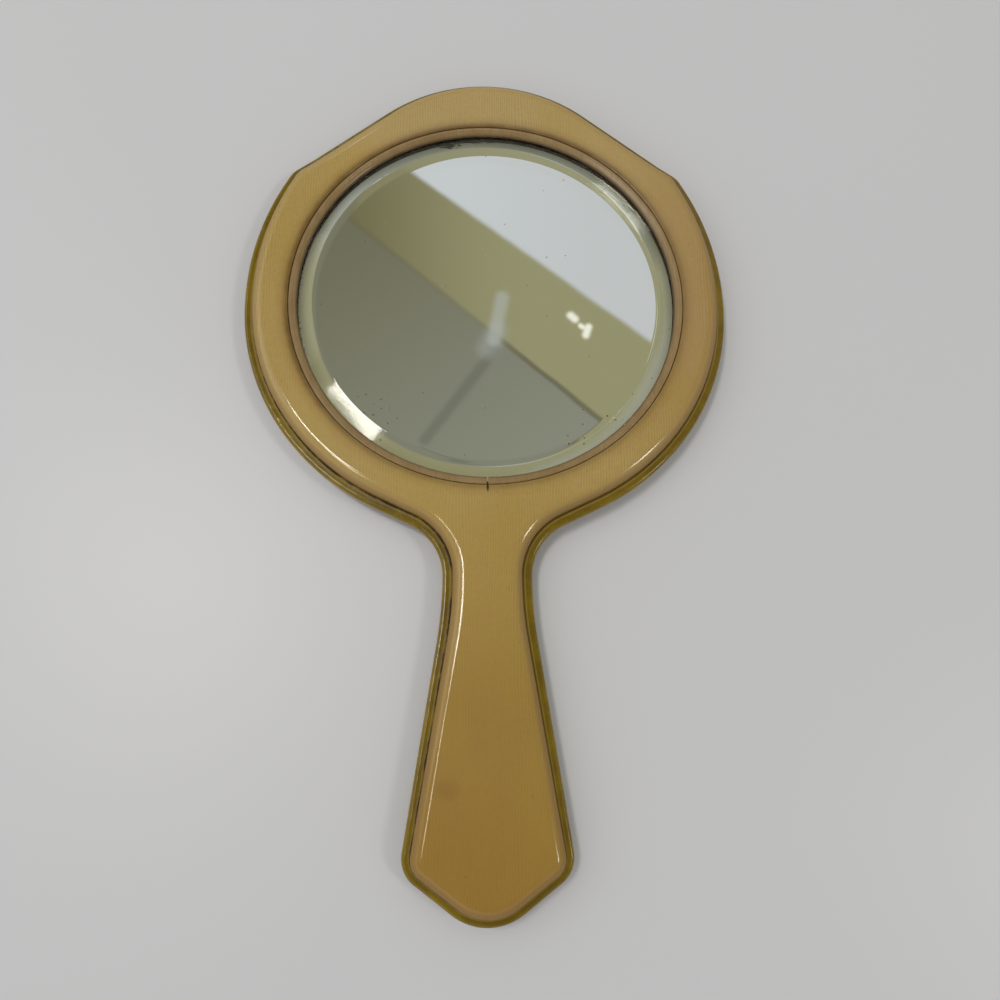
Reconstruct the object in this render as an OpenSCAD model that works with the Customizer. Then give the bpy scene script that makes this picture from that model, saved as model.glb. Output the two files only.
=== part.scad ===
// Hand mirror lying on its back, glass up. The origin is under the middle of the glass, on the
// face that the mirror rests on. The handle points to -Y and +Z is up.
//
// The body is three cemented plates: an ivory back panel, an amber plate whose rim stands out
// all round as a flange, and an ivory front panel with the window for the glass.

/* [Overall] */
// Length from the crown of the head to the tip of the handle
overall_len = 255.7; // [225:0.1:305]
// Width across the head
head_w = 148.2; // [124:0.1:180]

/* [Head outline] */
// Height of the crown above the middle of the glass
crown_h = 80.1; // [76:0.1:96]
// Radius of the crown's arc
crown_r = 52; // [30:1:62]
// Height of the shoulder corners above the middle of the glass
shoulder_h = 45.4; // [38:0.1:54]
// How far the shoulder corners stand in from the widest line
shoulder_in = 11.8; // [9:0.1:16]
// Width of the short flatter stretch that leads into each shoulder corner
shoulder_run = 6.1; // [3:0.1:9]
// How much that stretch drops over its width
shoulder_drop = 4.4; // [2:0.1:5]
// Radius of the lower half of the head
head_r = 72.7; // [61:0.1:76]
// Slope of the sides where the head runs into the neck, in degrees
neck_slope = 25.7; // [15:0.1:35]

/* [Handle outline] */
// Width of the neck at its narrowest
neck_w = 25.4; // [20:0.1:31]
// Radius of the fillets between the head and the neck
neck_r = 16.7; // [10:0.1:20]
// Length of the waist below those fillets, over which the sides begin to spread
waist_len = 9; // [5:0.5:15]
// Width of the handle between its two bottom corners, measured before they are rounded
handle_w = 46.3; // [38:0.1:56]
// Slope of the two edges that meet at the tip, in degrees
tip_slope = 36.2; // [20:0.1:45]

/* [Plates] */
// How far the amber plate stands out beyond the ivory panels
flange_w = 3; // [1.5:0.1:4.5]
// The same width round the foot of the handle, to which it tapers from the waist
foot_flange_w = 2.4; // [1.5:0.1:4.5]
// Thickness of the amber plate
amber_t = 2.8; // [2.2:0.1:4.5]
// Thickness of the ivory front panel
front_t = 4.4; // [3.6:0.1:5.5]
// Thickness of the ivory back panel
back_t = 3.6; // [3.2:0.1:5.5]
// Radius of the panels' rounded outer edges
edge_r = 3; // [1.5:0.1:3.1]
// Radius of the amber rim's rounded edges
rim_r = 1.1; // [0.4:0.1:1.1]
// Corner radius left on the panels' flat faces, to which the rounded edge and the flange add
face_corner_r = 2; // [0.6:0.1:4]
// The same radius at the tip of the handle
face_tip_r = 10; // [2:0.1:12]
// Depth of the seam groove between a panel and the amber plate
seam_d = 0.35; // [0.2:0.05:0.6]
// Height of that groove
seam_h = 0.5; // [0.3:0.05:0.8]

/* [Window] */
// Diameter of the window in the front panel
window_d = 120; // [104:0.5:122]
// How far the bezel ring stands in over the glass from the window's wall
bezel_w = 2.65; // [2:0.05:4]
// How far the ring's crest lies below the front face
bezel_sink = 0.25; // [0.1:0.05:0.5]
// Width of the saw cut where the ring's ends meet
bezel_gap = 0.5; // [0.2:0.1:1.5]
// Width of the broken edge round the window
window_chamfer = 0.3; // [0.1:0.05:0.6]

/* [Glass] */
// Thickness of the glass
glass_t = 3.4; // [2.8:0.1:3.9]
// Width of the ground bevel
bevel_w = 6.6; // [4:0.1:12]
// How much lower the bevel is at its outer edge
bevel_drop = 1.2; // [0.6:0.05:1.3]
// How far the flat of the glass lies below the front face
glass_sink = 0.9; // [0.6:0.1:1]

/* [Backing] */
// Thickness of the silver coat
silver_t = 0.1; // [0.05:0.01:0.15]
// Thickness of the paint coat over the silver
paint_t = 0.1; // [0.05:0.01:0.2]
// Thickness of the soft disc against the paint
cushion_t = 0.6; // [0.3:0.1:0.8]
// Thickness of the strawboard disc under it
card_t = 1.2; // [0.6:0.1:1.3]

/* [Fits] */
// Clearance round the bezel ring in the window
ring_gap = 0.1; // [0.05:0.05:0.3]
// Clearance between the ring's underside and the bevel
seat_gap = 0.05; // [0.05:0.05:0.2]
// Clearance round the glass in its pocket
glass_gap = 0.4; // [0.2:0.1:1]
// Clearance round the packing discs in the pocket
disc_gap = 0.8; // [0.4:0.1:2]

/* [Hidden] */
$fn = 96;
ARC_STEP = 4;        // degrees of turn to one chord of the outline's arcs
EDGE_STEPS = 6;      // flats to a quarter turn of a rounded edge
eps = 0.01;

// Heights of the layers
amber_z = back_t;
front_z = amber_z + amber_t;
face_z = front_z + front_t;
glass_top = face_z - glass_sink;
glass_z = glass_top - glass_t;
silver_z = glass_z - silver_t;
paint_z = silver_z - paint_t;
cushion_z = paint_z - cushion_t;
card_z = cushion_z - card_t;

// Radii about the middle of the glass
window_r = window_d / 2;
glass_r = window_r - 0.8;
pocket_r = glass_r + glass_gap;
disc_r = pocket_r - disc_gap;
ring_r = window_r - ring_gap;
ring_in_r = window_r - bezel_w;

// The right half of the outline is a chain of straight lines with rounded corners
half_w = head_w / 2;
corner_r = face_corner_r + edge_r + flange_w;
tip_r = face_tip_r + edge_r + flange_w;
shoulder_x = half_w - shoulder_in;
flat_x = shoulder_x - shoulder_run;
flat_y = shoulder_h + shoulder_drop;

// The crown's arc is a fillet between its two flanks. At crown_full it would use them up.
crown_rise = crown_h - flat_y;
crown_full = (flat_x * flat_x + crown_rise * crown_rise) / (2 * crown_rise);
crown_fit = min(crown_r, 0.93 * crown_full);

// The line from the end of the flatter stretch is tangent to the crown's arc
crown_c = crown_h - crown_fit;
flank_d = norm([flat_x, flat_y - crown_c]);
crown_slope = 90 - atan2(flat_y - crown_c, flat_x) - acos(crown_fit / flank_d);
apex_y = crown_c + crown_fit / cos(crown_slope);

// The sides turn upright at the height of the glass's middle
side_turn = atan2(shoulder_in, shoulder_h / 2);
side_r = 0.93 * shoulder_h / 2 / tan(side_turn / 2);
low_y = -head_r * tan((90 - neck_slope) / 2);
neck_y = low_y - tan(neck_slope) * (half_w - neck_w / 2);
waist_y = neck_y - neck_r * tan((90 - neck_slope) / 2) - waist_len;

// The two edges of the tip meet on the middle line before the tip is rounded
tip_y = crown_h - overall_len;
point_y = tip_y - tip_r * (1 / cos(tip_slope) - 1);
corner_y = point_y + tan(tip_slope) * handle_w / 2;
spread = atan2(handle_w / 2 - neck_w / 2, waist_y - corner_y);
waist_r = 0.95 * waist_len / tan(spread / 2);

// Corners of the right half, each with its radius, from the crown down to the tip
CORNERS = [
    [0, apex_y, crown_fit],
    [flat_x, flat_y, 2 * corner_r],
    [shoulder_x, shoulder_h, corner_r],
    [half_w, shoulder_h / 2, side_r],
    [half_w, low_y, head_r],
    [neck_w / 2, neck_y, neck_r],
    [neck_w / 2, waist_y, waist_r],
    [handle_w / 2, corner_y, corner_r],
    [0, point_y, tip_r],
];

function unit(v) = v / norm(v);
function xy(p) = [p.x, p.y];
function flip(p) = [-p.x, p.y];

// Arc of radius r that rounds corner b, between its neighbours a and c
function fillet(a, b, c, r) =
    let (u = unit(a - b), v = unit(c - b), half = acos(u * v) / 2,
         centre = b + unit(u + v) * r / sin(half),
         from = b + u * r / tan(half) - centre,
         to = b + v * r / tan(half) - centre,
         start = atan2(from.y, from.x),
         turn = (atan2(to.y, to.x) - start + 540) % 360 - 180,
         n = max(2, ceil(abs(turn) / ARC_STEP)))
    [for (i = [0 : n]) centre + r * [cos(start + turn * i / n), sin(start + turn * i / n)]];

// The arc over a corner on the middle line, of which only the right half is kept
function cap(b, c, r) = [for (p = fillet(flip(c), b, c, r)) if (p.x > eps) p];

last = len(CORNERS) - 1;
crown_arc = cap(xy(CORNERS[0]), xy(CORNERS[1]), crown_fit);
tip_arc = cap(xy(CORNERS[last]), xy(CORNERS[last - 1]), tip_r);
HALF = concat(
    [[0, crown_h]],
    crown_arc[0].y > crown_arc[1].y ? crown_arc : reversed(crown_arc),
    [for (i = [1 : last - 1])
        each fillet(xy(CORNERS[i - 1]), xy(CORNERS[i]), xy(CORNERS[i + 1]), CORNERS[i][2])],
    tip_arc[0].y > tip_arc[1].y ? tip_arc : reversed(tip_arc),
    [[0, tip_y]]);
function reversed(list) = [for (i = [len(list) - 1 : -1 : 0]) list[i]];

// The whole outline, clockwise from the crown: point i mirrors point COUNT - i
SIDE = len(HALF) - 1;
OUTLINE = concat(HALF, [for (i = [SIDE - 1 : -1 : 1]) flip(HALF[i])]);
COUNT = len(OUTLINE);

// How each point moves for one millimetre of inset, so that every edge stays parallel to itself
function inward(a, b) = let (d = unit(b - a)) [d.y, -d.x];
MITRE = [for (i = [0 : COUNT - 1])
    let (m = inward(OUTLINE[(i + COUNT - 1) % COUNT], OUTLINE[i]),
         n = inward(OUTLINE[i], OUTLINE[(i + 1) % COUNT]))
    (m + n) / (1 + m * n)];
function loop(inset, z) = [for (i = [0 : COUNT - 1])
    let (p = OUTLINE[i] + (inset - spare(inset, OUTLINE[i].y)) * MITRE[i]) [p.x, p.y, z]];

// The panels, whose insets start at flange_w, reach further out on the handle than on the head
function spare(inset, y) = inset < flange_w ? 0
    : (flange_w - foot_flange_w) * min(1, max(0, (waist_y - y) / (waist_y - corner_y)));

// Solid through a stack of insets of the outline, each given as [inset, height], from below
module slab(levels) {
    top = (len(levels) - 1) * COUNT;
    walls = [for (k = [0 : len(levels) - 2], i = [0 : COUNT - 1])
        [k * COUNT + i, k * COUNT + (i + 1) % COUNT,
         (k + 1) * COUNT + (i + 1) % COUNT, (k + 1) * COUNT + i]];
    strips = [for (i = [0 : SIDE - 1])
        i == 0 ? [0, 1, COUNT - 1]
        : i == SIDE - 1 ? [i, i + 1, i + 2]
        : [i, i + 1, COUNT - i - 1, COUNT - i]];
    polyhedron(
        points = [for (l = levels) each loop(l[0], l[1])],
        faces = concat(
            walls,
            [for (s = strips) [for (j = s) top + j]],
            [for (s = strips) reversed(s)]));
}

// Rounded edge as levels: it starts flat at height z, r further in than the wall at inset w
function round_up(w, z, r) = [for (k = [0 : EDGE_STEPS])
    [w + r * (1 - sin(90 * k / EDGE_STEPS)), z + r * (1 - cos(90 * k / EDGE_STEPS))]];
function round_in(w, z, r) = [for (k = [EDGE_STEPS : -1 : 0])
    [w + r * (1 - sin(90 * k / EDGE_STEPS)), z - r * (1 - cos(90 * k / EDGE_STEPS))]];

// Ivory back panel, rounded where it meets the table, with the seam groove at its top
module back_panel() {
    color("#D9BC86")
        slab(concat(
            round_up(flange_w, 0, edge_r),
            [[flange_w, back_t - seam_h], [flange_w + seam_d, back_t]]));
}

// Amber plate, rounded all round its rim, with the pocket for the glass and its packing
module amber_plate() {
    color("#8A6D16")
        difference() {
            slab(concat(round_up(0, amber_z, rim_r), round_in(0, front_z, rim_r)));
            translate([0, 0, card_z])
                cylinder(h = face_z, r = pocket_r);
        }
}

// Ivory front panel with a rounded outer edge, the window and its broken inner edge
module front_panel() {
    color("#D9BC86")
        difference() {
            slab(concat(
                [[flange_w + seam_d, front_z], [flange_w, front_z + seam_h]],
                round_in(flange_w, face_z, edge_r)));
            translate([0, 0, front_z - eps])
                cylinder(h = front_t + 2 * eps, r = window_r);
            translate([0, 0, face_z - window_chamfer])
                cylinder(h = 2 * window_chamfer, r1 = window_r, r2 = window_r + 2 * window_chamfer);
        }
}

// A plain disc of the packing or of the coats behind the glass
module disc(z, t, r) {
    translate([0, 0, z])
        cylinder(h = t, r = r);
}

module packing_card() {
    color("#8F7A5A")
        disc(card_z, card_t, disc_r);
}

module cushion_disc() {
    color("#5E5348")
        disc(cushion_z, cushion_t, disc_r);
}

module backing_paint() {
    color("#4A3226")
        disc(paint_z, paint_t, glass_r - 0.1);
}

module silvering() {
    color("#D8DCDC")
        disc(silver_z, silver_t, glass_r - 0.2);
}

// Round glass, thinner towards its edge by the ground bevel
module mirror_glass() {
    color("#BFD0CE")
        rotate_extrude()
            polygon([
                [0, glass_z],
                [glass_r, glass_z],
                [glass_r, glass_top - bevel_drop],
                [glass_r - bevel_w, glass_top],
                [0, glass_top],
            ]);
}

// Split ring sprung into the window. Its underside follows the bevel, and its top falls away
// gently from the crest and then rounds down to the glass.
module bezel_ring() {
    function bevel_z(r) = glass_top - bevel_drop * (r - glass_r + bevel_w) / bevel_w;
    crest_z = face_z - bezel_sink;
    foot_z = bevel_z(ring_in_r) + seat_gap;
    crest_r = 0.35 * bezel_w;
    nose_w = 0.3 * bezel_w;
    fall = 0.18 * (crest_z - foot_z);
    nose_z = crest_z - fall;
    split = atan(bezel_gap / ring_r);
    color("#CDB08C")
        rotate([0, 0, split / 2 - 90])
            rotate_extrude(angle = 360 - split)
                polygon(concat(
                    [[ring_in_r, foot_z],
                     [glass_r, bevel_z(glass_r) + seat_gap],
                     [ring_r, bevel_z(glass_r) + seat_gap],
                     [ring_r, crest_z - 0.3],
                     [ring_r - 0.3, crest_z],
                     [ring_r - crest_r, crest_z]],
                    [for (a = [90 : 15 : 180])
                        [ring_in_r + nose_w + nose_w * cos(a),
                         foot_z + 0.2 + (nose_z - foot_z - 0.2) * sin(a)]]));
}

back_panel();
amber_plate();
front_panel();
packing_card();
cushion_disc();
backing_paint();
silvering();
mirror_glass();
bezel_ring();
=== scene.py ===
import math

import bmesh
import bpy
import numpy as np
from mathutils import Matrix, Vector
from mathutils.geometry import tessellate_polygon


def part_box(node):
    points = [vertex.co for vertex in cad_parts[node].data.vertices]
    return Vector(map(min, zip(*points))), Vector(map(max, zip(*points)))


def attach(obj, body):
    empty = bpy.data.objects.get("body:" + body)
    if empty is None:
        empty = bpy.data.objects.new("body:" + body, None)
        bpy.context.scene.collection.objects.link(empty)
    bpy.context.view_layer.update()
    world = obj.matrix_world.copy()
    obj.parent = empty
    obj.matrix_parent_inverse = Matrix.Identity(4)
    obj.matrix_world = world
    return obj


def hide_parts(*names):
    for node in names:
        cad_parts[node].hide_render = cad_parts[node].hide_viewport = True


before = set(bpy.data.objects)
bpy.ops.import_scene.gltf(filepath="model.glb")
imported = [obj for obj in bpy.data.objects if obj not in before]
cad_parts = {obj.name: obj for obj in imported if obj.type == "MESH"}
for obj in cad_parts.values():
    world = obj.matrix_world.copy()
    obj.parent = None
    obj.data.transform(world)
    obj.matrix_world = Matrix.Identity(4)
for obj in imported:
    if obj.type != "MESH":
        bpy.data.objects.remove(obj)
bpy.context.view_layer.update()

MM = 0.001
scene = bpy.context.scene
scene.view_settings.view_transform = "Standard"

# ---------------------------------------------------------------- sizes, in millimetres
def box_mm(node):
    low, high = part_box(node)
    return low / MM, high / MM


rim_low, rim_high = box_mm("amber_plate")
front_low, front_high = box_mm("front_panel")
ring_low, ring_high = box_mm("bezel_ring")
glass_low, glass_high = box_mm("mirror_glass")

HALF_W = rim_high.x
CROWN_Y = rim_high.y
TIP_Y = rim_low.y
FACE_Z = front_high.z
FRONT_Z = front_low.z
AMBER_Z = rim_low.z
BACK_TOP = box_mm("back_panel")[1].z
CARD_Z = box_mm("packing_card")[0].z
FLANGE_W = HALF_W - front_high.x
FOOT_FLANGE_W = 2.4
RING_R = ring_high.x
RING_GAP = 0.1
RING_W = 2.65
WINDOW_R = RING_R + RING_GAP
RING_IN_R = WINDOW_R - RING_W
GLASS_R = glass_high.x
GLASS_TOP = glass_high.z
GLASS_Z = glass_low.z
GLASS_GAP = 0.4
POCKET_R = GLASS_R + GLASS_GAP
BEVEL_W = 6.6
BEVEL_DROP = 1.2
EDGE_R = 3.0
EDGE_REACH = 3.7
RIM_R = 1.1
LIP_R = 0.35
SEAM_D = 0.35
SEAM_H = 0.5
CORNER_R = 2.0 + EDGE_R + FLANGE_W
TIP_R = 10.0 + EDGE_R + FLANGE_W

# The outline's own sizes, from the crown down to the foot
CROWN_R = 52.0
SHOULDER_H = 45.4
SHOULDER_IN = 11.8
SHOULDER_RUN = 6.1
SHOULDER_DROP = 4.4
HEAD_R = 72.7
NECK_SLOPE = math.radians(25.7)
NECK_HALF = 12.7
NECK_R = 16.7
WAIST_LEN = 9.0
HANDLE_HALF = 23.15
TIP_SLOPE = math.radians(36.2)

# How finely round things are divided
ARC_STEP = 1.2
EDGE_STEPS = 14
LIP_STEPS = 6
CIRCLE_SIDES = 256
# The inset given to points on the inner walls, where no edge wear is drawn
INNER = 20


# ---------------------------------------------------------------- outline
def unit(v):
    return v / np.linalg.norm(v)


def fillet(a, b, c, r):
    """Arc of radius r that rounds corner b between a and c."""
    a, b, c = (np.array(p, float) for p in (a, b, c))
    u, v = unit(a - b), unit(c - b)
    half = math.acos(float(u @ v)) / 2
    centre = b + unit(u + v) * r / math.sin(half)
    start_v = b + u * r / math.tan(half) - centre
    end_v = b + v * r / math.tan(half) - centre
    start = math.atan2(start_v[1], start_v[0])
    turn = (math.atan2(end_v[1], end_v[0]) - start + 3 * math.pi) % (2 * math.pi) - math.pi
    n = max(3, math.ceil(abs(math.degrees(turn)) / ARC_STEP))
    return [centre + r * np.array([math.cos(start + turn * i / n), math.sin(start + turn * i / n)])
            for i in range(n + 1)]


def half_outline():
    """Points of the right half, from crown to tip, then the heights of its waist and foot corner."""
    tan = math.tan
    # The share of a corner's room that its arc uses, so that some straight line is left beside it
    side_share, waist_share = 0.93, 0.95
    shoulder_x = HALF_W - SHOULDER_IN
    flat_x = shoulder_x - SHOULDER_RUN
    flat_y = SHOULDER_H + SHOULDER_DROP
    crown_c = CROWN_Y - CROWN_R
    flank_d = math.hypot(flat_x, flat_y - crown_c)
    slope = math.pi / 2 - math.atan2(flat_y - crown_c, flat_x) - math.acos(CROWN_R / flank_d)
    apex_y = crown_c + CROWN_R / math.cos(slope)
    side_r = side_share * SHOULDER_H / 2 / tan(math.atan2(SHOULDER_IN, SHOULDER_H / 2) / 2)
    quarter = (math.pi / 2 - NECK_SLOPE) / 2
    low_y = -HEAD_R * tan(quarter)
    neck_y = low_y - tan(NECK_SLOPE) * (HALF_W - NECK_HALF)
    waist_y = neck_y - NECK_R * tan(quarter) - WAIST_LEN
    point_y = TIP_Y - TIP_R * (1 / math.cos(TIP_SLOPE) - 1)
    corner_y = point_y + tan(TIP_SLOPE) * HANDLE_HALF
    spread = math.atan2(HANDLE_HALF - NECK_HALF, waist_y - corner_y)
    waist_r = waist_share * WAIST_LEN / tan(spread / 2)
    # Each corner before rounding: x, y and the radius that rounds it
    corners = [
        (0, apex_y, CROWN_R), (flat_x, flat_y, 2 * CORNER_R), (shoulder_x, SHOULDER_H, CORNER_R),
        (HALF_W, SHOULDER_H / 2, side_r), (HALF_W, low_y, HEAD_R), (NECK_HALF, neck_y, NECK_R),
        (NECK_HALF, waist_y, waist_r), (HANDLE_HALF, corner_y, CORNER_R), (0, point_y, TIP_R),
    ]

    def cap(b, c, r):
        """The right half of the arc that rounds b, a corner on the middle line."""
        arc = [p for p in fillet((-c[0], c[1]), b, c, r) if p[0] > 0.01]
        return sorted(arc, key=lambda p: -p[1])

    points = [np.array([0.0, CROWN_Y])] + cap(corners[0][:2], corners[1][:2], CROWN_R)
    for before, here, after in zip(corners, corners[1:], corners[2:]):
        points += fillet(before[:2], here[:2], after[:2], here[2])
    points += cap(corners[-1][:2], corners[-2][:2], TIP_R) + [np.array([0.0, TIP_Y])]
    return points, waist_y, corner_y


half, WAIST_Y, CORNER_Y = half_outline()
OUTLINE = np.array(half + [p * [-1, 1] for p in half[-2:0:-1]])

# How far each point moves for an inset of 1, so that the edges stay parallel
edges = np.roll(OUTLINE, -1, axis=0) - OUTLINE
normals = np.stack([edges[:, 1], -edges[:, 0]], axis=1) / np.linalg.norm(edges, axis=1)[:, None]
previous = np.roll(normals, 1, axis=0)
MITRE = (previous + normals) / (1 + (previous * normals).sum(axis=1))[:, None]

# The flange narrows down the handle, so the panels reach further out there
TAPER = (FLANGE_W - FOOT_FLANGE_W) * np.clip((WAIST_Y - OUTLINE[:, 1]) / (WAIST_Y - CORNER_Y), 0, 1)


def loop(inset, z):
    """The outline moved inwards by inset, less the flange's taper, which grows from the rim inwards."""
    share = min(1, max(0, (inset - RIM_R) / (FLANGE_W - RIM_R)))
    xy = OUTLINE + (inset - share * TAPER)[:, None] * MITRE
    return [(p[0], p[1], z) for p in xy]


def circle(r, z):
    n = CIRCLE_SIDES
    return [(r * math.cos(2 * math.pi * i / n), r * math.sin(2 * math.pi * i / n), z) for i in range(n)]


def round_up(w, z, r):
    """Levels of a rounded lower edge, from its flat to its wall."""
    return [(w + r * (1 - math.sin(math.pi / 2 * k / EDGE_STEPS)),
             z + r * (1 - math.cos(math.pi / 2 * k / EDGE_STEPS))) for k in range(EDGE_STEPS + 1)]


def round_in(w, z, r, wide):
    """Levels of a rounded upper edge, r high and wide across, from its wall to its flat."""
    return [(w + wide * (1 - math.sin(math.pi / 2 * k / EDGE_STEPS)),
             z - r * (1 - math.cos(math.pi / 2 * k / EDGE_STEPS))) for k in range(EDGE_STEPS, -1, -1)]


# ---------------------------------------------------------------- mesh building
class Shell:
    """Collects loops of points and the faces between them."""

    def __init__(self):
        self.points, self.faces, self.inset = [], [], []

    def add(self, points, inset):
        first = len(self.points)
        self.points += [tuple(p) for p in points]
        self.inset += [inset] * len(points)
        return list(range(first, len(self.points)))

    def wall(self, a, b):
        n = len(a)
        self.faces += [(a[i], a[(i + 1) % n], b[(i + 1) % n], b[i]) for i in range(n)]

    def cap(self, outer, hole=None):
        loops = [[Vector(self.points[i]) for i in ids] for ids in ([outer, hole] if hole else [outer])]
        ids = outer + (hole or [])
        self.faces += [tuple(ids[k] for k in tri) for tri in tessellate_polygon(loops)]

    def build(self, name, body, node, sharp=35):
        mesh = bpy.data.meshes.new(name)
        mesh.from_pydata([(x * MM, y * MM, z * MM) for x, y, z in self.points], [], self.faces)
        attribute = mesh.attributes.new("inset", "FLOAT", "POINT")
        attribute.data.foreach_set("value", np.array(self.inset, np.float32))
        bm = bmesh.new()
        bm.from_mesh(mesh)
        bmesh.ops.recalc_face_normals(bm, faces=bm.faces)
        bm.to_mesh(mesh)
        bm.free()
        mesh.shade_smooth()
        mesh.set_sharp_from_angle(angle=math.radians(sharp))
        made = bpy.data.objects.new(name, mesh)
        scene.collection.objects.link(made)
        weighted = made.modifiers.new("face_weighted_normals", "WEIGHTED_NORMAL")
        weighted.keep_sharp = True
        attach(made, body)
        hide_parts(node)
        return made


def stack(shell, levels):
    """Joins the outline's loops at the levels (inset, z), and gives the first loop and the last."""
    rings = [shell.add(loop(w, z), w) for w, z in levels]
    for a, b in zip(rings, rings[1:]):
        shell.wall(a, b)
    return rings[0], rings[-1]


def make_back():
    shell = Shell()
    seam = [(FLANGE_W, BACK_TOP - SEAM_H), (FLANGE_W + SEAM_D, BACK_TOP)]
    levels = round_up(FLANGE_W, 0, EDGE_R) + seam
    bottom, top = stack(shell, levels)
    shell.cap(bottom)
    shell.cap(top)
    return shell.build("back_panel_ivory", "root", "back_panel")


def make_amber():
    shell = Shell()
    bottom, top = stack(shell, round_up(0, AMBER_Z, RIM_R) + round_in(0, FRONT_Z, RIM_R, RIM_R))
    shell.cap(bottom)
    # Closer loops by the seam, where the dirt and painted shade on the flange change quickly
    for inset in (1.6, 2.0, 2.2, 2.4, 2.6, 2.8, 3.0, 3.4, 5.0):
        ring = shell.add(loop(inset, FRONT_Z), inset)
        shell.wall(top, ring)
        top = ring
    mouth = shell.add(circle(POCKET_R, FRONT_Z), INNER)
    pocket = shell.add(circle(POCKET_R, CARD_Z), INNER)
    shell.cap(top, mouth)
    shell.wall(mouth, pocket)
    shell.cap(pocket)
    return shell.build("amber_plate_rim", "root", "amber_plate")


def window_ring(z, grow):
    """The window's edge with the short crack at its foot, which opens out with grow."""
    r = WINDOW_R + grow
    gape = 0.1 + 0.5 * grow
    start = math.asin(gape / r)
    n = CIRCLE_SIDES
    points = []
    for i in range(n + 1):
        a = -math.pi / 2 + start + (2 * math.pi - 2 * start) * i / n
        points.append((r * math.cos(a), r * math.sin(a), z))
    depth = 1.5 + 0.3 * grow
    return points + [(-0.6 * gape + 0.05, -r - 0.5 * depth, z), (0.06, -r - depth, z),
                     (0.6 * gape + 0.1, -r - 0.5 * depth, z)]


def make_front():
    shell = Shell()
    seam = [(FLANGE_W + SEAM_D, FRONT_Z), (FLANGE_W, FRONT_Z + SEAM_H)]
    bottom, top = stack(shell, seam + round_in(FLANGE_W, FACE_Z, EDGE_R, EDGE_REACH))
    rings = []
    for k in range(LIP_STEPS + 1):
        a = math.pi / 2 * k / LIP_STEPS
        z = FACE_Z - LIP_R * (1 - math.cos(a))
        rings.append(shell.add(window_ring(z, LIP_R * (1 - math.sin(a))), INNER))
    rings.append(shell.add(window_ring(FRONT_Z, 0), INNER))
    for a, b in zip(rings, rings[1:]):
        shell.wall(a, b)
    shell.cap(top, rings[0])
    shell.cap(bottom, rings[-1])
    return shell.build("front_panel_ivory", "root", "front_panel")


def bevel_z(r):
    """Height of the glass's bevel at the radius r."""
    return GLASS_TOP - BEVEL_DROP * (r - GLASS_R + BEVEL_W) / BEVEL_W


def revolve(name, node, profile, gap=0.0, n=360, sharp=35, closed=True):
    """Turns a profile of (r, z) about the middle of the glass, open by gap degrees at the handle's side."""
    shell = Shell()
    whole = gap == 0
    spans = n if whole else n + 1
    sweep = math.radians(360 - gap)
    start = -math.pi / 2 + math.radians(gap / 2)
    rows = []
    for r, z in profile:
        ring = [(r * math.cos(start + sweep * i / n), r * math.sin(start + sweep * i / n), z)
                for i in range(spans)] if r > 0 else [(0, 0, z)]
        rows.append(shell.add(ring, INNER))
    pairs = list(zip(rows, rows[1:] + rows[:1])) if closed else list(zip(rows, rows[1:]))
    for a, b in pairs:
        for i in range(n):
            j = (i + 1) % spans
            if len(a) == 1:
                shell.faces.append((a[0], b[j], b[i]))
            elif len(b) == 1:
                shell.faces.append((a[i], a[j], b[0]))
            else:
                shell.faces.append((a[i], a[j], b[j], b[i]))
    if not whole:
        for side in (0, n):
            shell.faces.append(tuple(row[side] for row in rows))
    return shell.build(name, "root", node, sharp)


def make_glass():
    """Plate glass whose bevel meets the flat in a narrow rounded arris, sunk a little into its silver."""
    sink = 0.05
    arris = 0.45
    chamfer, nick = 0.2, 0.15
    inner = GLASS_R - BEVEL_W
    profile = [(0, GLASS_Z - sink), (GLASS_R - chamfer, GLASS_Z - sink), (GLASS_R, GLASS_Z + nick),
               (GLASS_R, bevel_z(GLASS_R) - chamfer), (GLASS_R - nick, bevel_z(GLASS_R - nick))]
    profile += [(inner - arris + 2 * arris * t, GLASS_TOP - BEVEL_DROP / BEVEL_W * arris * t * t)
                for t in (1, 0.84, 0.68, 0.52, 0.36, 0.2, 0)]
    profile.append((0, GLASS_TOP))
    return revolve("mirror_glass_bevelled", "mirror_glass", profile, sharp=4, closed=False)


def make_ring():
    """Split ring with a flat crest, a fall towards the glass and a rounded nose."""
    clear, round_r, toe, split, set_back = 0.05, 0.3, 0.15, 0.5, 0.1
    crest_z = ring_high.z
    foot_z = bevel_z(RING_IN_R) + clear
    nose_w, crest_w = 0.42 * RING_W, 0.30 * RING_W
    fall = 0.2 * (crest_z - foot_z)
    crest_r = RING_R - crest_w - set_back
    nose_r = RING_IN_R + nose_w
    nose_z = crest_z - fall
    profile = [(RING_IN_R, foot_z), (GLASS_R, bevel_z(GLASS_R) + clear), (RING_R, ring_low.z),
               (RING_R, crest_z - round_r)]
    profile += [(RING_R - round_r + round_r * math.cos(a), crest_z - round_r + round_r * math.sin(a))
                for a in np.radians(range(15, 91, 15))]
    profile.append((crest_r, crest_z))
    profile += [(crest_r - (crest_r - nose_r) * t, crest_z - fall * t * t) for t in (0.33, 0.66, 1)]
    profile += [(nose_r + nose_w * math.cos(a), foot_z + toe + (nose_z - foot_z - toe) * math.sin(a))
                for a in np.radians(range(100, 181, 8))]
    gap = math.degrees(split / RING_R)
    return revolve("bezel_ring_split", "bezel_ring", profile, gap=gap, n=300, sharp=50)


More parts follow.
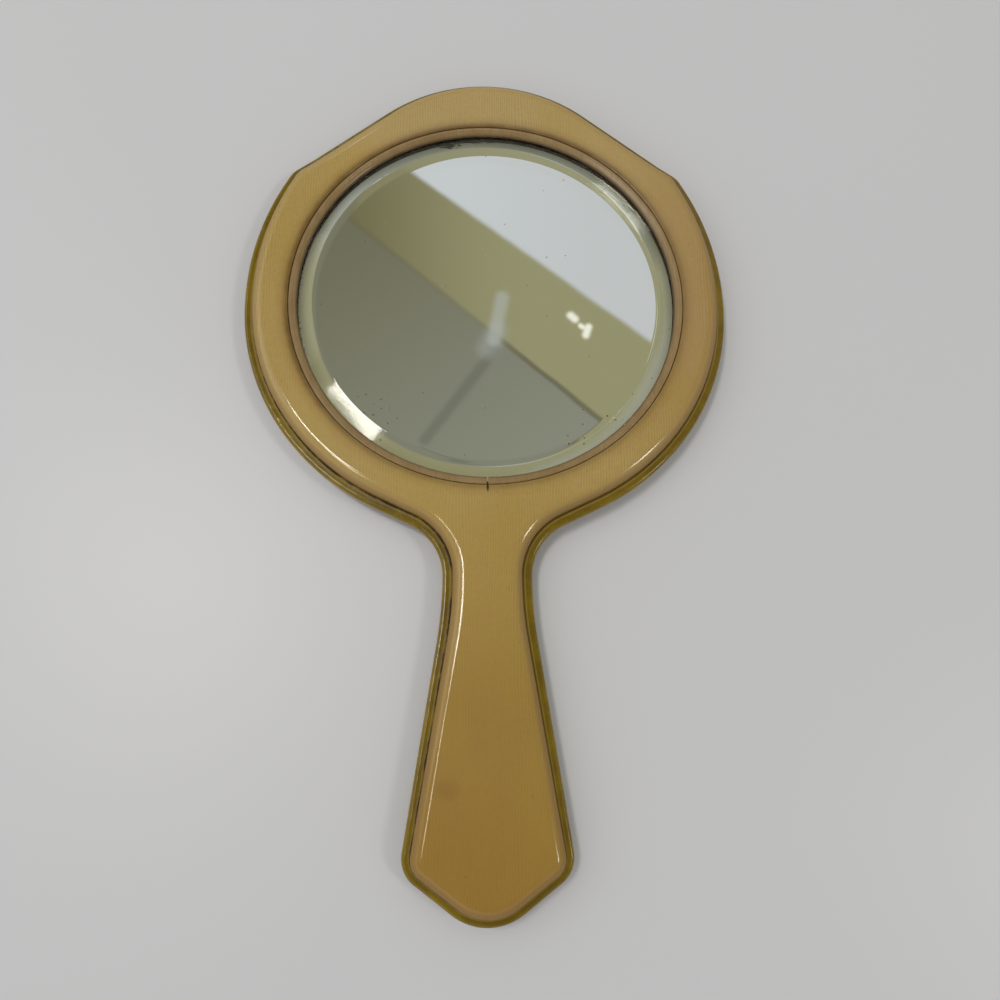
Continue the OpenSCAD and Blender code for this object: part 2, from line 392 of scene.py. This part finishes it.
# ---------------------------------------------------------------- node shorthand
class Sock:
    """A float or vector socket with arithmetic, so that materials read as formulas."""

    def __init__(self, graph, socket):
        self.g, self.s = graph, socket

    def op(self, name, *others):
        return self.g.math(name, self, *others)

    def __add__(self, o):
        return self.op("ADD", o)

    def __sub__(self, o):
        return self.op("SUBTRACT", o)

    def __mul__(self, o):
        return self.op("MULTIPLY", o)

    def __truediv__(self, o):
        return self.op("DIVIDE", o)

    def __radd__(self, o):
        return self.op("ADD", o)

    def __rmul__(self, o):
        return self.op("MULTIPLY", o)

    def __rsub__(self, o):
        return self.g.math("SUBTRACT", o, self)

    def power(self, o):
        return self.op("POWER", o)

    def step(self, low, high):
        """0 below low, 1 above high, smooth between them. It falls if low is above high."""
        return self.g.remap(self, low, high)


class Graph:
    """A node tree that starts empty, with one method for each kind of node used here."""

    def __init__(self, tree):
        self.tree = tree
        tree.nodes.clear()

    def node(self, kind, **settings):
        made = self.tree.nodes.new(kind)
        for key, value in settings.items():
            setattr(made, key, value)
        return made

    def put(self, socket, value):
        if isinstance(value, Sock):
            self.tree.links.new(value.s, socket)
        else:
            socket.default_value = value

    def math(self, name, *values, clamp=False):
        made = self.node("ShaderNodeMath", operation=name, use_clamp=clamp)
        for socket, value in zip(made.inputs, values):
            self.put(socket, value)
        return Sock(self, made.outputs[0])

    def remap(self, value, low, high):
        """Smooth 0 to 1 from low to high, or 1 to 0 where low is above high."""
        made = self.node("ShaderNodeMapRange", interpolation_type="SMOOTHSTEP", clamp=True)
        if low > high:
            low, high, ends = high, low, (1, 0)
        else:
            ends = (0, 1)
        for name, v in (("Value", value), ("From Min", low), ("From Max", high),
                        ("To Min", ends[0]), ("To Max", ends[1])):
            self.put(made.inputs[name], v)
        return Sock(self, made.outputs["Result"])

    def mix(self, factor, a, b):
        made = self.node("ShaderNodeMix", data_type="RGBA", blend_type="MIX")
        self.put(made.inputs["Factor"], factor)
        for socket, value in ((made.inputs[6], a), (made.inputs[7], b)):
            self.put(socket, value if isinstance(value, Sock) else (*value, 1))
        return Sock(self, made.outputs[2])

    def place(self, direction=False):
        """(x, y, z) in the row frame in millimetres, or the direction for the world."""
        coordinate = self.node("ShaderNodeTexCoord")
        split = self.node("ShaderNodeSeparateXYZ")
        self.tree.links.new(coordinate.outputs["Generated" if direction else "Object"], split.inputs[0])
        parts = [Sock(self, split.outputs[i]) for i in range(3)]
        return parts if direction else [p * (1 / MM) for p in parts]

    def vector(self, x, y, z):
        made = self.node("ShaderNodeCombineXYZ")
        for socket, value in zip(made.inputs, (x, y, z)):
            self.put(socket, value)
        return Sock(self, made.outputs[0])

    def noise(self, where, scale, detail=3.0, rough=0.5):
        made = self.node("ShaderNodeTexNoise")
        self.put(made.inputs["Vector"], where)
        made.inputs["Scale"].default_value = scale
        made.inputs["Detail"].default_value = detail
        made.inputs["Roughness"].default_value = rough
        return Sock(self, made.outputs[0])

    def specks(self, where, scale):
        """(distance to the nearest cell's middle, that cell's random number)"""
        made = self.node("ShaderNodeTexVoronoi", voronoi_dimensions="2D")
        self.put(made.inputs["Vector"], where)
        made.inputs["Scale"].default_value = scale
        split = self.node("ShaderNodeSeparateColor")
        self.tree.links.new(made.outputs["Color"], split.inputs[0])
        return Sock(self, made.outputs["Distance"]), Sock(self, split.outputs[0])

    def attribute(self, name):
        made = self.node("ShaderNodeAttribute", attribute_name=name)
        return Sock(self, made.outputs["Fac"])

    def bump(self, height, distance):
        made = self.node("ShaderNodeBump")
        self.put(made.inputs["Height"], height)
        made.inputs["Distance"].default_value = distance
        made.inputs["Strength"].default_value = 1.0
        return Sock(self, made.outputs[0])

    def surface(self, **values):
        """The shader and its output. A name's underscores stand for the spaces in its socket's."""
        shader = self.node("ShaderNodeBsdfPrincipled")
        out = self.node("ShaderNodeOutputMaterial")
        self.tree.links.new(shader.outputs[0], out.inputs[0])
        for name, value in values.items():
            if isinstance(value, tuple) and "Radius" not in name:
                value = (*value, 1)
            self.put(shader.inputs[name.replace("_", " ")], value)


def material(name):
    made = bpy.data.materials.new(name)
    made.use_nodes = True
    return made, Graph(made.node_tree)


def near(x, y, cx, cy, rx, ry):
    """1 at (cx, cy), falling to 0 at an ellipse of half-axes rx, ry round it."""
    u, v = (x - cx) * (1 / rx), (y - cy) * (1 / ry)
    return (u * u + v * v).step(1.0, 0.0)


# ---------------------------------------------------------------- materials
def ivory():
    made, g = material("ivory_celluloid")
    x, y, z = g.place()
    where = g.vector(x, y, z)
    radius = (x * x + y * y).power(0.5)

    # Painted shade: the colour darkens down the handle and at the lower right of the head, standing in for
    # the shade over that side
    colour = g.mix(y.step(-52, -80), (0.570, 0.406, 0.150), (0.535, 0.362, 0.108))
    colour = g.mix(y.step(-85, -125), colour, (0.440, 0.275, 0.070))
    colour = g.mix(y.step(-130, -168), colour, (0.412, 0.238, 0.050))
    colour = g.mix(x.step(30, 74) * y.step(-75, -30), colour, (0.480, 0.312, 0.115))

    # Fine parallel grain along the mirror's length
    drift = g.noise(g.vector(x * 0.05, y * 0.012, z * 0.05), 1.0, 2.0)
    fine = g.noise(g.vector(x * 1.0, y * 0.014, z * 0.35), 1.0, 2.0, 0.6)
    grain_pitch = 0.76
    lines = g.math("SINE", (x + drift * 9 + fine * 0.3) * (2 * math.pi / grain_pitch))
    fade = g.noise(g.vector(x * 0.03, y * 0.02, z * 0.03), 1.0, 2.0).step(0.25, 0.75)
    dashes = g.noise(g.vector(x * 0.9, y * 0.9, z * 0.3), 1.0, 3.0, 0.7).step(0.30, 0.70)
    grain = (lines * 0.5 + 0.5) * (0.40 + fade * 0.60) * (0.25 + dashes * 0.75) + fine * 0.12
    colour = g.mix(grain * 0.40, colour, (0.28, 0.155, 0.040))

    # Cloudiness, handling stains, and browning round the window mixed with painted shade, which is heaviest
    # at the upper left and darkest in the joint by the ring
    cloud = g.noise(where, 0.035, 4.0, 0.55)
    colour = g.mix(cloud.step(0.35, 0.75) * 0.14, colour, (0.40, 0.235, 0.075))
    gold = g.noise(g.vector(x * 0.06, y * 0.025, 7.0), 1.0, 3.0, 0.6)
    gold = (gold + x.step(6, 24) * y.step(-80, -110) * 0.25).step(0.42, 0.80)
    colour = g.mix(gold * 0.30, colour, (0.480, 0.318, 0.052))
    ragged = g.noise(where, 0.22, 4.0, 0.6)
    # Painted shade round the window: heavier towards the upper left, and dark in the joint by the ring
    shade_side = (y - x * 0.7).step(-70, 30) * 0.6 + 0.4
    brown = (radius - (WINDOW_R + 0.2)).step(4.5, 0) * (0.3 + ragged * 0.7) * (0.6 + 0.6 * shade_side)
    colour = g.mix(brown * 0.50, colour, (0.25, 0.125, 0.030))
    ring_joint_shade = (radius - WINDOW_R).step(2.2, 0.1) * (0.55 + ragged * 0.6) * shade_side
    colour = g.mix(ring_joint_shade * 0.80, colour, (0.110, 0.052, 0.014))
    crack = near(x, y, 0.05, -WINDOW_R - 0.9, 0.5, 1.6)
    colour = g.mix(crack * 0.8, colour, (0.03, 0.018, 0.008))
    stain = near(x, y, -10.7, -141.9, 4.2, 3.6) * (0.4 + ragged * 0.8)
    colour = g.mix(stain * 0.30, colour, (0.25, 0.12, 0.04))

    # Dirt with painted shade in the seams, and painted shade with dirt darkening the wall above the front
    # seam towards its foot
    height = z - FRONT_Z
    seam = height.step(1.0, 0.15) * height.step(-0.2, 0.0)
    inset = g.attribute("inset")
    base = inset.step(FLANGE_W + 1.9, FLANGE_W + 0.6)
    # Painted shade with dirt: the rounded wall darkens towards its foot at the seam
    colour = g.mix(inset.step(FLANGE_W + 2.4, FLANGE_W) * 0.58, colour, (0.26, 0.130, 0.024))
    below = z.step(BACK_TOP - 0.9, BACK_TOP - 0.2) * z.step(AMBER_Z + 0.3, AMBER_Z)
    patchy = g.noise(where, 0.12, 5.0, 0.65).step(0.30, 0.62)
    worn = x.step(14, -8) * y.step(-30, -62)
    # The seams' dirt is mixed with painted shade along them
    dirt_and_shade = (seam + below) * (0.45 + patchy * 0.35)
    colour = g.mix(dirt_and_shade, colour, (0.165, 0.082, 0.010))
    black = (seam + below) * patchy * worn
    colour = g.mix(black * 0.85, colour, (0.035, 0.018, 0.004))
    far, pick = g.specks(g.vector(x * 0.35, y * 0.35, z * 0.35), 1.0)
    dots = far.step(0.09, 0.03) * pick.step(0.955, 0.97)
    colour = g.mix(dots * 0.55, colour, (0.16, 0.085, 0.03))

    scuff = g.noise(g.vector(x * 0.5, y * 0.9, z), 1.0, 5.0, 0.65)
    rough = 0.065 + scuff * 0.05 + dirt_and_shade * 0.4 + base * 0.36
    wave = g.noise(where, 0.05, 1.0) * 0.7 + scuff * 0.008 + grain * 0.005
    g.surface(Base_Color=colour, Roughness=rough, Normal=g.bump(wave, 0.00012),
              IOR=1.5, Subsurface_Weight=0.12, Subsurface_Radius=(0.9, 0.5, 0.22),
              Subsurface_Scale=0.001)
    return made


def amber():
    made, g = material("amber_celluloid")
    x, y, z = g.place()
    where = g.vector(x, y, z)
    inset = g.attribute("inset")
    cloud = g.noise(where, 0.09, 5.0, 0.6)
    colour = g.mix(cloud.step(0.3, 0.7), (0.335, 0.228, 0.006), (0.215, 0.134, 0.003))
    # Painted highlight: a lighter line along the flange's rounded outer edge
    colour = g.mix(inset.step(0.5, 0.0) * 0.30, colour, (0.56, 0.43, 0.04))
    patchy = g.noise(where, 0.16, 5.0, 0.7).step(0.34, 0.60)
    left = x.step(12, -14) * (y - 20).step(0, -30)
    upper = (z - FRONT_Z).step(-0.9, -0.1)
    # Cement squeezed out beside the seam, then the dirt that has settled in it, with painted shade along
    # the seam
    squeeze = inset.step(FLANGE_W - 1.15, FLANGE_W - 0.85) * inset.step(FLANGE_W - 0.4, FLANGE_W - 0.6)
    colour = g.mix(squeeze * upper * 0.55, colour, (0.62, 0.42, 0.10))
    dirt_and_shade = inset.step(FLANGE_W - 0.75, FLANGE_W - 0.2) * upper * (0.30 + patchy * (0.20 + 0.5 * left))
    dirt_and_shade = dirt_and_shade + inset.step(0.9, FLANGE_W) * upper * patchy * left * y.step(-40, -60) * 0.7
    dirt_and_shade = dirt_and_shade.op("MINIMUM", 1.0)
    grime = g.mix(left * patchy, (0.160, 0.090, 0.004), (0.035, 0.018, 0.003))
    colour = g.mix(dirt_and_shade * 0.95, colour, grime)
    nicks = g.noise(where, 0.9, 3.0).step(0.62, 0.72) * inset.step(2.5, 0.5)
    colour = g.mix(nicks * 0.5, colour, (0.13, 0.075, 0.012))
    rough = 0.10 + g.noise(where, 0.5, 4.0) * 0.12 + dirt_and_shade * 0.60
    g.surface(Base_Color=colour, Roughness=rough, IOR=1.5,
              Normal=g.bump(g.noise(where, 0.35, 3.0), 0.00012),
              Transmission_Weight=0.18, Subsurface_Weight=0.35, Subsurface_Radius=(1.6, 1.0, 0.2),
              Subsurface_Scale=0.001)
    return made


def bezel():
    made, g = material("bezel_celluloid")
    x, y, z = g.place()
    where = g.vector(x, y, z)
    radius = (x * x + y * y).power(0.5)
    cloud = g.noise(where, 0.10, 4.0, 0.6)
    colour = g.mix(cloud.step(0.3, 0.7), (0.385, 0.262, 0.122), (0.320, 0.208, 0.090))
    lines = g.noise(g.vector(x * 1.2, y * 0.02, z), 1.0, 2.0)
    colour = g.mix(lines.step(0.4, 0.7) * 0.22, colour, (0.20, 0.110, 0.04))
    edge = radius.step(RING_R - 0.35, RING_R) + radius.step(RING_IN_R + 0.35, RING_IN_R)
    ragged = g.noise(where, 0.35, 4.0, 0.65).step(0.3, 0.65)
    colour = g.mix(edge * (0.40 + 0.5 * ragged), colour, (0.120, 0.062, 0.018))
    # Painted shade with old dirt: the ring's inner slope darkens towards the glass
    colour = g.mix(radius.step(RING_IN_R + 1.3, RING_IN_R + 0.1) * 0.45, colour, (0.130, 0.085, 0.038))
    rough = 0.17 + cloud * 0.10
    g.surface(Base_Color=colour, Roughness=rough, IOR=1.5,
              Normal=g.bump(g.noise(where, 0.5, 3.0), 0.00006),
              Subsurface_Weight=0.1, Subsurface_Radius=(0.8, 0.45, 0.2), Subsurface_Scale=0.001)
    return made


def glass():
    made, g = material("plate_glass")
    x, y, z = g.place()
    where = g.vector(x, y, z)
    radius = (x * x + y * y).power(0.5)
    smudge = g.noise(where, 0.08, 5.0, 0.6).step(0.55, 0.85)
    bevel = (radius - (GLASS_R - BEVEL_W)).step(0.2, 0.8)
    rough = smudge * 0.012 + bevel * 0.065
    g.surface(Base_Color=(0.975, 0.99, 0.975), Roughness=rough, IOR=1.52, Transmission_Weight=1.0,
              Normal=g.bump(g.noise(where, 0.03, 1.0), 0.00001))
    return made


def silver():
    made, g = material("silver_coat")
    x, y, _ = g.place()
    where = g.vector(x, y, 0.0)
    radius = (x * x + y * y).power(0.5)
    ragged = g.noise(where, 0.42, 5.0, 0.65)
    crumbs = g.noise(where, 1.5, 5.0, 0.75)

    # Past sound_r, and a little before it along the top and up the left side, the silver is lost; the wider
    # band at the top and left also paints the ring's shade there.
    sound_r = 58.0
    ahead = (y + x.op("ABSOLUTE") * 0.15).step(30, 56)
    side = x.step(-36, -54) * y.step(-34, -12)
    reach = sound_r - ahead * 0.9 - side * 1.6
    soft = (radius - reach).step(-1.8, 1.6) * (ahead + side * 0.70).op("MINIMUM", 1.0)
    rim = (soft + (crumbs - 0.5) * 2.6).step(0.50, 0.95)

    # A feathered blot at the top, then specks at both lower sides and a few all over
    blot = near(x, y, -12.5, 55.0, 6.5, 2.3) + near(x, y, -4.0, 56.4, 9.0, 1.5)
    feather = g.noise(g.vector(x * 0.55, y * 1.7, 0.0), 1.0, 5.0, 0.7)
    torn = blot + (ragged - 0.5) * 1.0 + (feather - 0.5) * 4.2
    blot = blot.step(0.0, 0.15) * torn.step(0.62, 0.86)
    far, pick = g.specks(where, 0.42)
    low_left = near(x, y, -37, -41, 17, 13)
    low_right = near(x, y, 29, -44, 15, 11)
    left_dots = pick.step(0.72, 0.76) * low_left.step(0.05, 0.35)
    right_dots = pick.step(0.80, 0.84) * low_right.step(0.05, 0.35)
    dots = far.step(0.14, 0.055) * (left_dots + right_dots)
    tiny, chance = g.specks(where, 0.16)
    dots = dots * 0.8 + tiny.step(0.040, 0.015) * chance.step(0.89, 0.92) * 0.8

    # Black outer edge where the silver is lost, and painted shade of the ring darkening the silver inside
    # it, heaviest at the top
    edge = radius.step(sound_r - 0.4, sound_r + 0.6)
    painted_ring_shade = radius.step(sound_r - 4.4, sound_r - 0.4) * (0.14 + 0.56 * y.step(-38, 0))
    coat = g.mix(painted_ring_shade, (0.90, 0.915, 0.895), (0.19, 0.165, 0.115))
    lost = (rim + blot + dots + edge).op("MINIMUM", 1.0)
    g.surface(Base_Color=g.mix(lost, coat, (0.008, 0.006, 0.004)),
              Metallic=1.0 - lost, Roughness=0.015 + lost * 0.5,
              Normal=g.bump(g.noise(where, 0.05, 2.0), 0.000004))
    return made


def dull(name, light, dark, scale, rough, bump):
    """Matt stuff that the closed body hides: board, felt or paint."""
    made, g = material(name)
    x, y, z = g.place()
    where = g.vector(x, y, z)
    fibre = g.noise(g.vector(x * scale, y * scale * 0.3, z * scale), 1.0, 6.0, 0.7)
    mottle = g.noise(where, 0.12, 3.0)
    colour = g.mix(fibre * 0.6 + mottle * 0.4, light, dark)
    g.surface(Base_Color=colour, Roughness=rough + fibre * 0.1, Normal=g.bump(fibre, bump))
    return made


def wear(obj, made):
    obj.data.materials.clear()
    obj.data.materials.append(made)


ivory_material = ivory()
wear(make_back(), ivory_material)
wear(make_amber(), amber())
wear(make_front(), ivory_material)
wear(make_ring(), bezel())
wear(make_glass(), glass())
wear(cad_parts["silvering"], silver())
wear(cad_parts["backing_paint"],
     dull("backing_paint_brown", (0.14, 0.075, 0.04), (0.07, 0.035, 0.02), 0.8, 0.55, 0.00003))
wear(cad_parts["cushion_disc"],
     dull("cushion_felt", (0.22, 0.17, 0.12), (0.11, 0.085, 0.06), 2.5, 0.85, 0.0001))
wear(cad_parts["packing_card"],
     dull("strawboard", (0.42, 0.31, 0.17), (0.24, 0.17, 0.09), 1.6, 0.8, 0.00006))


# ---------------------------------------------------------------- floor
def floor():
    half_side = 3.0
    mesh = bpy.data.meshes.new("floor")
    corners = [(half_side * i, half_side * j, 0) for i, j in ((-1, -1), (1, -1), (1, 1), (-1, 1))]
    mesh.from_pydata(corners, [], [(0, 1, 2, 3)])
    made = bpy.data.objects.new("floor", mesh)
    scene.collection.objects.link(made)
    paint, g = material("pale_table")
    x, y, _ = g.place()
    soft = g.noise(g.vector(x * 0.004, y * 0.004, 0.0), 1.0, 2.0)
    g.surface(Base_Color=g.mix(soft, (0.755, 0.762, 0.842), (0.785, 0.790, 0.865)), Roughness=0.38,
              Specular_IOR_Level=0.45)
    wear(made, paint)


floor()


# ---------------------------------------------------------------- light
def sky():
    """A pale room, drawn in (u, v), where a direction meets the plane one metre above the table."""
    world = bpy.data.worlds.new("room")
    scene.world = world
    world.use_nodes = True
    g = Graph(world.node_tree)
    x, y, z = g.place(direction=True)
    up = z.op("MAXIMUM", 0.02)
    u, v = x / up, y / up
    wall = g.mix(u.step(-0.25, 0.09), (0.160, 0.144, 0.071), (0.330, 0.312, 0.175))
    shade = g.mix((u * 0.6 - v * 0.8).step(-0.75, -0.10), (0.168, 0.158, 0.102), (0.272, 0.275, 0.218))
    shade = g.mix(v.step(0.24, 0.10), shade, (0.185, 0.190, 0.138))
    ceiling = g.mix(u.step(-0.2, 0.25), (0.640, 0.665, 0.690), (0.585, 0.596, 0.615))
    ceiling = g.mix(u.step(0.31, 0.44) * v.step(0.80, 0.66), ceiling, (0.270, 0.250, 0.155))

    # The wall lies between two slanted lines, with shade below it and the ceiling above
    edge = 0.005
    wall_foot = 0.397
    wall_top = 0.538
    low_line = u * 0.657 + v * 0.754
    high_line = u * 0.62 + v * 0.785
    colour = g.mix(low_line.step(wall_foot - edge, wall_foot + edge), shade, wall)
    corner = (low_line - wall_foot).op("ABSOLUTE").step(0.006, 0.001) * (0.25 + 0.75 * u.step(0.0, 0.08))
    colour = g.mix(corner * 0.55, colour, (0.07, 0.055, 0.03))
    colour = g.mix(high_line.step(wall_top - edge, wall_top + edge), colour, ceiling)

    def streak(ax, ay, bx, by, wide):
        """1 on the line from a to b, falling to 0 at wide from it."""
        dx, dy = bx - ax, by - ay
        span = dx * dx + dy * dy
        t = g.math("MULTIPLY", (u - ax) * dx + (v - ay) * dy, 1 / span, clamp=True)
        p, q = u - ax - t * dx, v - ay - t * dy
        return (p * p + q * q).power(0.5).step(wide, wide * 0.2)

    colour = g.mix(streak(0.030, 0.475, -0.061, 0.347, 0.012) * 0.38, colour, (0.10, 0.105, 0.09))
    colour = g.mix(streak(0.034, 0.505, 0.022, 0.478, 0.024) * 0.40, colour, (0.40, 0.42, 0.40))
    colour = g.mix(streak(0.042, 0.556, 0.030, 0.492, 0.015) * 0.60, colour, (0.46, 0.48, 0.45))
    glints = streak(0.136, 0.530, 0.142, 0.524, 0.009) + streak(0.161, 0.512, 0.157, 0.500, 0.008)
    glints = glints + streak(0.150, 0.514, 0.152, 0.512, 0.006)
    colour = g.mix(glints * 0.8, colour, (1.1, 1.08, 0.95))

    # Past what the glass reflects: plain and pale, darker towards the horizon
    outer = (u * u + v * v).power(0.5).step(0.95, 1.25)
    beyond = g.mix(x.step(-0.5, 0.5), (0.74, 0.745, 0.765), (0.48, 0.48, 0.49))
    beyond = g.mix(v.step(0.4, 0.9), beyond, (0.38, 0.38, 0.27))
    colour = g.mix(outer, colour, beyond)
    horizon = g.mix(x.step(-0.5, 0.5), (0.45, 0.45, 0.46), (0.32, 0.32, 0.325))
    colour = g.mix(z.step(0.45, 0.20), colour, horizon)
    shader = g.node("ShaderNodeBackground")
    out = g.node("ShaderNodeOutputWorld")
    g.put(shader.inputs["Color"], colour)
    world.node_tree.links.new(shader.outputs[0], out.inputs[0])


def lamp(name, centre, size, turn, radiance, colour=(1, 1, 1), height=1.9):
    """A level panel whose centre and size are given in the plane one metre above the table."""
    light = bpy.data.lights.new(name, "AREA")
    light.shape = "RECTANGLE"
    light.size, light.size_y = size[0] * height, size[1] * height
    light.energy = 4 * light.size * light.size_y * radiance
    light.color = colour
    made = bpy.data.objects.new(name, light)
    made.location = (centre[0] * height, centre[1] * height, height)
    made.rotation_euler = (0, 0, math.radians(turn))
    scene.collection.objects.link(made)


sky()
lamp("overhead_left", (-0.39, 0.165), (0.25, 0.13), -49.5, 17.0, colour=(1.0, 0.97, 0.91), height=3.0)
lamp("overhead_low", (-0.43, -0.06), (0.09, 0.20), 0, 9.0, colour=(1.0, 0.95, 0.86), height=3.0)
lamp("side_right", (0.90, -0.29), (0.24, 0.22), 0, 12.0, colour=(1.0, 0.97, 0.90))
lamp("window_left", (-1.3, 0.5), (1.4, 1.0), 0, 0.6)
lamp("far_left", (-0.31, 1.06), (0.10, 0.10), 0, 5.0)


# ---------------------------------------------------------------- camera
def camera():
    """The photo's point of view: nearly straight down, a little to the handle's side."""
    place = Vector((-4.59, -122.59, 229.45))
    target = Vector((3.5, -64.6, FACE_Z))
    ahead = (target - place).normalized()
    across = ahead.cross(Vector((0, 1, 0))).normalized()
    down = ahead.cross(across)
    roll = math.radians(-0.38)
    right = across * math.cos(roll) - down * math.sin(roll)
    down = across * math.sin(roll) + down * math.cos(roll)
    data = bpy.data.cameras.new("camera")
    data.lens, data.sensor_width, data.sensor_fit = 28.8, 36, "HORIZONTAL"
    data.clip_start, data.clip_end = 0.01, 20
    made = bpy.data.objects.new("camera", data)
    turn = Matrix((right, -down, -ahead)).transposed()
    made.matrix_world = Matrix.Translation(place * MM) @ turn.to_4x4()
    scene.collection.objects.link(made)
    scene.camera = made


camera()
